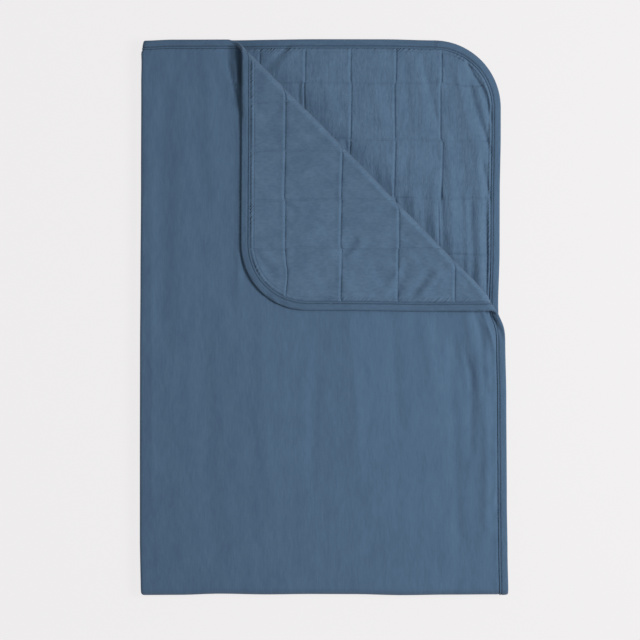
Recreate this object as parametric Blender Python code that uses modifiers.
"""A quilted blanket, folded in quarters, with its top corner turned back.

It is made as a maker would make it: a plain face panel, a square-quilted
reverse panel, and a tape that binds both raw edges.  Each of the three is
modelled lying flat, with u across the blanket, v along it and w up out of
its plain face.  Every point is then carried through the same folds:

  1. the corner at (CUT_WIDTH, CUT_LENGTH) is rolled back over the plain face,
  2. the blanket is folded lengthwise, reverse side inside,
  3. it is folded crosswise, with the second half underneath,
  4. the outline takes the small drifts of cloth that was laid by hand.

Folded, +Y is the long direction, the lengthwise fold is on the -X side and
the crosswise fold on the -Y side.  Lengths are in metres.
"""

import math

import bmesh
import bpy

# The cut sizes
CUT_WIDTH = 0.990
CUT_LENGTH = 1.500
CORNER_RADIUS = 0.092
CORNER_STEPS = 8

# The thickness of each cloth, and the gap kept between two of them
FACE_THICK = 0.0010
REVERSE_THICK = 0.0012
TAPE_THICK = 0.0008
CLEARANCE = 0.0003

# The binding tape, measured in from the blanket's edge, and how far the
# raw edges stop short of the tape's fold
TAPE_WIDTH = 0.012
RAW_EDGE_GAP = 0.0010

# The quilting: square cells that stand up between sewn lines
END_MARGIN = 0.059
END_PITCH = 0.078
LINES_EACH_HALF = 7
TURNED_MARGIN = 0.084
TURNED_PITCH = 0.0663
UNDER_MARGIN = 0.081
UNDER_PITCH = 0.0620
CELL_RISE = 0.0012
CELL_SHOULDER = 0.012
SHOWN_LINES = 5

# The two quarter folds: where each lies past the middle, and how it bends
LENGTHWISE_PAST_MIDDLE = 0.0039
LENGTHWISE_RADIUS = 0.0030
CROSSWISE_PAST_MIDDLE = 0.0045
CROSSWISE_RADIUS = 0.0056
FOLD_STEPS = 8

# The turned-back corner
TURN_DEPTH = 0.2698
ROLL_RADIUS = 0.0050
ROLL_CLOTH = 0.0233
ROLL_STEPS = 8
FLAP_SLIDE = 0.0056
FLAP_HEIGHT = 0.0042
FLAP_SETTLE = 0.080
FLAP_SETTLE_STEPS = 4
FLAP_LIFT = 0.003
FLAP_LIFT_REACH = 0.045

# The roll's tip draws in the edge of its layer, most just above the tip
TIP_PULL = 0.0085
TIP_PULL_WIDE = 0.070
TIP_PULL_LONG = 0.018
TIP_PULL_ABOVE = 0.006

# The lower half lies narrower than the upper one, out of sight under it: by
# how much at the free side, and how far from the crosswise fold it is all there
LOWER_NARROWER = 0.0088
LOWER_NARROWER_FROM = 0.350

# The lowest layer lifts at its free edges by what the tape adds in thickness
EDGE_LIFT_FLAT = 0.022
EDGE_LIFT_END = 0.092
EDGE_LIFT_STEPS = 4

# How far the laid outline drifts from straight.  The columns are the place
# along the edge, from its lower or left end, and the shift in +X or +Y
LEFT_DRIFT = (
    (0.000, 0.0008), (0.020, 0.0004), (0.070, -0.0006), (0.200, -0.0006),
    (0.330, -0.0004), (0.430, 0.0002), (0.560, 0.0009), (0.700, 0.0013),
    (0.735, 0.0022), (0.756, 0.0052),
)
RIGHT_DRIFT = (
    (0.000, 0.0027), (0.060, 0.0016), (0.130, 0.0007), (0.265, 0.0000),
    (0.345, -0.0014), (0.400, -0.0026), (0.470, -0.0010), (0.540, -0.0008),
    (0.630, 0.0006), (0.756, 0.0006),
)
BOTTOM_DRIFT = (
    (0.000, -0.0008), (0.050, -0.0006), (0.108, 0.0010), (0.170, 0.0000),
    (0.230, 0.0006), (0.290, 0.0004), (0.355, -0.0010), (0.420, -0.0002),
    (0.498, 0.0006),
)
TOP_DRIFT = (
    (0.000, -0.0010), (0.040, 0.0004), (0.140, 0.0006), (0.240, 0.0016),
    (0.330, 0.0015), (0.400, 0.0000), (0.498, 0.0000),
)

# Cuts nearer than this to a point go through that point
CUT_SNAP = 0.00005

# Heights in the flat blanket, from the middle of the gap between the panels
FACE_LOW = CLEARANCE / 2
FACE_HIGH = FACE_LOW + FACE_THICK
REVERSE_HIGH = -CLEARANCE / 2
REVERSE_LOW = REVERSE_HIGH - REVERSE_THICK
TAPE_HIGH = FACE_HIGH + CLEARANCE + TAPE_THICK
TAPE_LOW = REVERSE_LOW - CLEARANCE - TAPE_THICK
PANEL_INSET = TAPE_THICK + RAW_EDGE_GAP
FIELD_INSET = TAPE_WIDTH + CLEARANCE

# Fold lines in the flat blanket, and the cloth that each half turn takes
LENGTHWISE_LINE = CUT_WIDTH / 2 - LENGTHWISE_PAST_MIDDLE
CROSSWISE_LINE = CUT_LENGTH / 2 - CROSSWISE_PAST_MIDDLE
LENGTHWISE_CLOTH = math.pi * LENGTHWISE_RADIUS
CROSSWISE_CLOTH = math.pi * CROSSWISE_RADIUS

# Where the folded blanket's layers and edges lie
STACK_HALF = CROSSWISE_RADIUS + LENGTHWISE_RADIUS + FACE_HIGH
FOLD_BULGE = LENGTHWISE_RADIUS + FACE_HIGH
FOLDED_WIDTH = CUT_WIDTH - LENGTHWISE_LINE - LENGTHWISE_CLOTH / 2 + FOLD_BULGE
FOLDED_LENGTH = CUT_LENGTH - CROSSWISE_LINE - CROSSWISE_CLOTH / 2 + STACK_HALF
UNDER_LENGTH = CROSSWISE_LINE - CROSSWISE_CLOTH / 2 + STACK_HALF
TOP_LAYER_FROM = STACK_HALF + CROSSWISE_RADIUS

# The roll's two ends in the flat blanket: its tip on the long edge, as v,
# and its start on the end edge, as u; extra cuts follow the cloth near both
TIP_AT = CUT_LENGTH - math.sqrt(2) * TURN_DEPTH
START_AT = CUT_WIDTH - math.sqrt(2) * TURN_DEPTH + TAPE_WIDTH
LOCAL_STEPS = 5
LOCAL_FROM_SIDE = CUT_WIDTH - TURNED_MARGIN
LOCAL_FROM_END = CUT_LENGTH - END_MARGIN


def quilt_lines_across():
    """Places of the sewn lines that run along the blanket, as u."""
    under = [UNDER_MARGIN + UNDER_PITCH * i for i in range(LINES_EACH_HALF)]
    turned = [TURNED_MARGIN + TURNED_PITCH * i for i in range(LINES_EACH_HALF)]
    return under + [CUT_WIDTH - place for place in reversed(turned)]


def quilt_lines_along():
    """Places of the sewn lines that run across the blanket, as v."""
    lines = []
    place = CUT_LENGTH - END_MARGIN
    while place > TAPE_WIDTH:
        lines.append(place)
        place -= END_PITCH
    return lines


def evenly(start, end, steps):
    """The steps + 1 evenly spaced values from start to end."""
    return [start + (end - start) * i / steps for i in range(steps + 1)]


def ease(value):
    """0 below 0, 1 above 1, and a smooth S between them."""
    value = min(max(value, 0.0), 1.0)
    return value * value * (3.0 - 2.0 * value)


def from_table(rows, place):
    """The shift at a place, eased from each row of the table to the next."""
    if place <= rows[0][0]:
        return rows[0][1]
    for (start, low), (end, high) in zip(rows, rows[1:]):
        if place <= end:
            return low + (high - low) * ease((place - start) / (end - start))
    return rows[-1][1]


def turn_back(u, v, w):
    """Roll the corner over the plain face along a line at 45 degrees."""
    along = ((u - CUT_WIDTH) - (v - CUT_LENGTH)) / math.sqrt(2)
    out = ((u - CUT_WIDTH) + (v - CUT_LENGTH)) / math.sqrt(2) + TURN_DEPTH
    if out <= 0:
        return u, v, w
    if out < ROLL_CLOTH:
        turned = out / ROLL_CLOTH
        angle = math.pi * turned
        reach = (ROLL_RADIUS - w) * math.sin(angle)
        height = ROLL_RADIUS - (ROLL_RADIUS - w) * math.cos(angle)
    else:
        turned = 1.0
        back = out - ROLL_CLOTH
        settled = ease(back / FLAP_SETTLE)
        reach = -back
        height = 2 * ROLL_RADIUS + (FLAP_HEIGHT - 2 * ROLL_RADIUS) * settled - w
    along += FLAP_SLIDE * turned
    # The roll starts at the blanket's end edge, where the flap stands up
    start = -TURN_DEPTH + FLAP_SLIDE
    distance = math.hypot(along - start, reach) / FLAP_LIFT_REACH
    height += FLAP_LIFT * turned * math.exp(-distance * distance)
    line_u = CUT_WIDTH + (reach - TURN_DEPTH + along) / math.sqrt(2)
    line_v = CUT_LENGTH + (reach - TURN_DEPTH - along) / math.sqrt(2)
    return line_u, line_v, height


def bend(place, height, radius):
    """Bend a layer at place 0 around an axis that lies radius below it.

    Positive places stay on top and negative ones end up underneath.
    The result is the distance out from the axis and the height over it.
    """
    straight = math.pi * radius / 2
    if place > straight:
        return place - straight, radius + height
    if place < -straight:
        return -place - straight, -(radius + height)
    angle = place / radius
    return -(radius + height) * math.cos(angle), (radius + height) * math.sin(angle)


def edge_lift(x, y):
    """How far the stack is raised over the tape of the lowest layer.

    The distance in from the lowest layer's outline, round corner included,
    decides it: the whole lift near the edge, easing to none further in.
    """
    inside = inside_outline(FOLDED_WIDTH - x, UNDER_LENGTH - y)
    fall = (inside - EDGE_LIFT_FLAT) / (EDGE_LIFT_END - EDGE_LIFT_FLAT)
    return (TAPE_HIGH - FACE_HIGH) * (1.0 - ease(fall))


def lay_out(x, y, z):
    """Give the straight-edged stack the drifts of cloth laid by hand."""
    lift = edge_lift(x, y)
    if z > TOP_LAYER_FROM:
        tip = FOLDED_LENGTH - math.sqrt(2) * (TURN_DEPTH - ROLL_RADIUS)
        near = (y - tip - TIP_PULL_ABOVE) / TIP_PULL_LONG
        over = ease(1.0 + (x - FOLDED_WIDTH) / TIP_PULL_WIDE)
        x -= TIP_PULL * over * math.exp(-near * near)
    right = x / FOLDED_WIDTH
    far = y / FOLDED_LENGTH
    if z < STACK_HALF:
        x -= LOWER_NARROWER * right * ease((y - STACK_HALF) / LOWER_NARROWER_FROM)
    shift_x = from_table(LEFT_DRIFT, y) * (1 - right) + from_table(RIGHT_DRIFT, y) * right
    shift_y = from_table(BOTTOM_DRIFT, x) * (1 - far) + from_table(TOP_DRIFT, x) * far
    return x + shift_x, y + shift_y, z + lift


def fold(u, v, w):
    """Carry one point of the flat blanket to its place in the folded one."""
    u, v, w = turn_back(u, v, w)
    x, level = bend(u - LENGTHWISE_LINE, w, LENGTHWISE_RADIUS)
    y, z = bend(v - CROSSWISE_LINE, level, CROSSWISE_RADIUS)
    return lay_out(x + FOLD_BULGE, y + STACK_HALF, z + STACK_HALF)


def inside_outline(in_side, in_end):
    """How far in from the round-cornered outline a point lies."""
    if in_side > CORNER_RADIUS or in_end > CORNER_RADIUS:
        return min(in_side, in_end)
    return CORNER_RADIUS - math.hypot(CORNER_RADIUS - in_side, CORNER_RADIUS - in_end)


def flat_slab(inset, low, high):
    """A flat slab with the blanket's outline, drawn in by inset.

    Its two broad faces have a border as wide as the tape is.
    """
    bm = bmesh.new()
    bmesh.ops.create_cube(bm, size=1.0)
    size = (CUT_WIDTH - 2 * inset, CUT_LENGTH - 2 * inset, high - low)
    bmesh.ops.scale(bm, verts=bm.verts, vec=size)
    middle = (CUT_WIDTH / 2, CUT_LENGTH / 2, (low + high) / 2)
    bmesh.ops.translate(bm, verts=bm.verts, vec=middle)
    upright = [e for e in bm.edges if abs(e.verts[0].co.z - e.verts[1].co.z) > (high - low) / 2]
    bmesh.ops.bevel(
        bm, geom=upright, offset=CORNER_RADIUS - inset, offset_type="OFFSET",
        segments=CORNER_STEPS, profile=0.5, affect="EDGES",
    )
    bm.normal_update()
    for side in (1, -1):
        field = [f for f in bm.faces if f.normal.z * side > 0.5]
        border = FIELD_INSET - inset
        bmesh.ops.inset_region(bm, faces=field, thickness=border, use_even_offset=True)
    return bm


def cut(bm, normal, distances, only=None):
    """Cut the mesh by planes across normal, or only the faces asked for."""
    for distance in distances:
        if only is None:
            geometry = bm.verts[:] + bm.edges[:] + bm.faces[:]
        else:
            chosen = [f for f in bm.faces if only(f)]
            edges = {e for f in chosen for e in f.edges}
            verts = {p for f in chosen for p in f.verts}
            geometry = list(verts) + list(edges) + chosen
        point = [distance * part for part in normal]
        bmesh.ops.bisect_plane(bm, geom=geometry, dist=CUT_SNAP, plane_co=point, plane_no=normal)


def cut_corner(bm, corner_u, corner_v):
    """Cut one round corner more finely, where the lift turns around it."""
    steps = evenly(EDGE_LIFT_FLAT, EDGE_LIFT_END, EDGE_LIFT_STEPS)

    def near(face):
        middle = face.calc_center_median()
        return max(abs(middle.x - corner_u), abs(middle.y - corner_v)) < EDGE_LIFT_END

    cut(bm, (1, 0, 0), [abs(corner_u - place) for place in steps[1:-1]], near)
    cut(bm, (0, 1, 0), [abs(corner_v - place) for place in steps[1:-1]], near)


def cut_for_folds(bm):
    """Cut a flat piece wherever it will bend, drift or carry a sewn line."""
    half = LENGTHWISE_CLOTH / 2
    across = quilt_lines_across() + [EDGE_LIFT_FLAT, CUT_WIDTH - EDGE_LIFT_FLAT]
    across += evenly(LENGTHWISE_LINE - half, LENGTHWISE_LINE + half, FOLD_STEPS)
    half = CROSSWISE_CLOTH / 2
    along = quilt_lines_along() + [EDGE_LIFT_FLAT, CUT_LENGTH - EDGE_LIFT_FLAT]
    along += evenly(CROSSWISE_LINE - half, CROSSWISE_LINE + half, FOLD_STEPS)
    cut(bm, (1, 0, 0), across)
    cut(bm, (0, 1, 0), along)
    for side in (0, 1):
        for end in (0, 1):
            cut_corner(bm, side * CUT_WIDTH, end * CUT_LENGTH)
    near_tip = evenly(TIP_AT - 2 * TIP_PULL_LONG, TIP_AT + TIP_PULL_LONG, LOCAL_STEPS)
    cut(bm, (0, 1, 0), near_tip, lambda face: face.calc_center_median().x > LOCAL_FROM_SIDE)
    near_start = evenly(START_AT, START_AT + 2 * FLAP_LIFT_REACH, LOCAL_STEPS)
    cut(bm, (1, 0, 0), near_start, lambda face: face.calc_center_median().y > LOCAL_FROM_END)
    roll = evenly(0.0, ROLL_CLOTH, ROLL_STEPS)
    roll += evenly(ROLL_CLOTH, ROLL_CLOTH + FLAP_SETTLE, FLAP_SETTLE_STEPS)[1:]
    corner = (CUT_WIDTH + CUT_LENGTH) / math.sqrt(2) - TURN_DEPTH
    slant = 1 / math.sqrt(2)
    cut(bm, (slant, slant, 0), [corner + place for place in roll])


def shown_limits():
    """The edges of the areas whose cells show: far v, low u and high u."""
    across = quilt_lines_across()
    along = quilt_lines_along()
    return along[SHOWN_LINES], across[SHOWN_LINES], across[-1 - SHOWN_LINES]


def raise_cells(bm):
    """Raise the cells of the reverse that show once the corner is back."""
    far, low, high = shown_limits()

    def shows(face):
        middle = face.calc_center_median()
        outside = middle.z < (REVERSE_LOW + REVERSE_HIGH) / 2 and face.normal.z < -0.5
        return outside and middle.y > far and (middle.x < low or middle.x > high)

    across = quilt_lines_across()
    along = quilt_lines_along()[:SHOWN_LINES + 1]
    beside_tape = FIELD_INSET + CELL_SHOULDER
    for normal, lines, edges in (
        ((1, 0, 0), across, (beside_tape, CUT_WIDTH - beside_tape)),
        ((0, 1, 0), along, (CUT_LENGTH - beside_tape,)),
    ):
        shoulders = [line + side * CELL_SHOULDER for line in lines for side in (-1, 1)]
        cut(bm, normal, shoulders + list(edges), shows)
    bm.normal_update()
    points = {p for f in bm.faces if shows(f) for p in f.verts}
    for point in points:
        u, v = point.co.x, point.co.y
        from_tape = inside_outline(min(u, CUT_WIDTH - u), CUT_LENGTH - v) - FIELD_INSET
        if v < far or low < u < high or from_tape <= 0:
            continue
        from_side = min(abs(u - line) for line in across)
        from_end = min(abs(v - line) for line in along)
        shoulders = [min(way / CELL_SHOULDER, 1) for way in (from_side, from_end, from_tape)]
        point.co.z -= CELL_RISE * math.prod(shoulders)


def tape_channel():
    """The binding lying flat: a channel of tape around the whole edge."""
    bm = flat_slab(0.0, TAPE_LOW, TAPE_HIGH)
    fields = [f for f in bm.faces if len(f.verts) > 4]
    bmesh.ops.delete(bm, geom=fields, context="FACES")
    mesh = bpy.data.meshes.new("tape_surface")
    bm.to_mesh(mesh)
    bm.free()
    carrier = bpy.data.objects.new("tape_surface", mesh)
    bpy.context.scene.collection.objects.link(carrier)
    wall = carrier.modifiers.new("Thickness", "SOLIDIFY")
    wall.thickness = TAPE_THICK
    wall.offset = -1.0
    wall.use_even_offset = True
    solid = bmesh.new()
    solid.from_mesh(carrier.evaluated_get(bpy.context.evaluated_depsgraph_get()).to_mesh())
    bpy.data.objects.remove(carrier)
    return solid


def fabric(name, colour, roughness):
    """A cloth material of one colour."""
    material = bpy.data.materials.new(name)
    material.use_nodes = True
    shader = material.node_tree.nodes["Principled BSDF"]
    shader.inputs["Base Color"].default_value = (*colour, 1.0)
    shader.inputs["Roughness"].default_value = roughness
    shader.inputs["Metallic"].default_value = 0.0
    return material


def finish_piece(name, bm, material, collection):
    """Fold a flat piece and keep it as an object of the blanket."""
    for point in bm.verts:
        point.co = fold(*point.co)
    bmesh.ops.recalc_face_normals(bm, faces=bm.faces)
    mesh = bpy.data.meshes.new(name)
    bm.to_mesh(mesh)
    bm.free()
    mesh.materials.append(material)
    mesh.shade_smooth()
    mesh.set_sharp_from_angle(angle=math.radians(40))
    piece = bpy.data.objects.new(name, mesh)
    collection.objects.link(piece)
    return piece


def centre_on_origin(pieces):
    """Put the middle of the blanket's own box over the origin."""
    points = [p.co for piece in pieces for p in piece.data.vertices]
    middle_x = (min(p.x for p in points) + max(p.x for p in points)) / 2
    middle_y = (min(p.y for p in points) + max(p.y for p in points)) / 2
    for piece in pieces:
        for point in piece.data.vertices:
            point.co.x -= middle_x
            point.co.y -= middle_y


def main():
    for leftover in list(bpy.data.objects):
        bpy.data.objects.remove(leftover)
    blanket = bpy.data.collections.new("folded_blanket")
    bpy.context.scene.collection.children.link(blanket)

    face = flat_slab(PANEL_INSET, FACE_LOW, FACE_HIGH)
    reverse = flat_slab(PANEL_INSET, REVERSE_LOW, REVERSE_HIGH)
    tape = tape_channel()
    for piece in (face, reverse, tape):
        cut_for_folds(piece)
    raise_cells(reverse)
    pieces = [
        finish_piece(
            "face_panel", face,
            fabric("plain_face_cloth", (0.076, 0.133, 0.208), 0.85), blanket,
        ),
        finish_piece(
            "quilted_panel", reverse,
            fabric("quilted_reverse_cloth", (0.085, 0.144, 0.223), 0.88), blanket,
        ),
        finish_piece(
            "edge_binding", tape,
            fabric("binding_tape", (0.068, 0.119, 0.185), 0.80), blanket,
        ),
    ]
    centre_on_origin(pieces)


main()
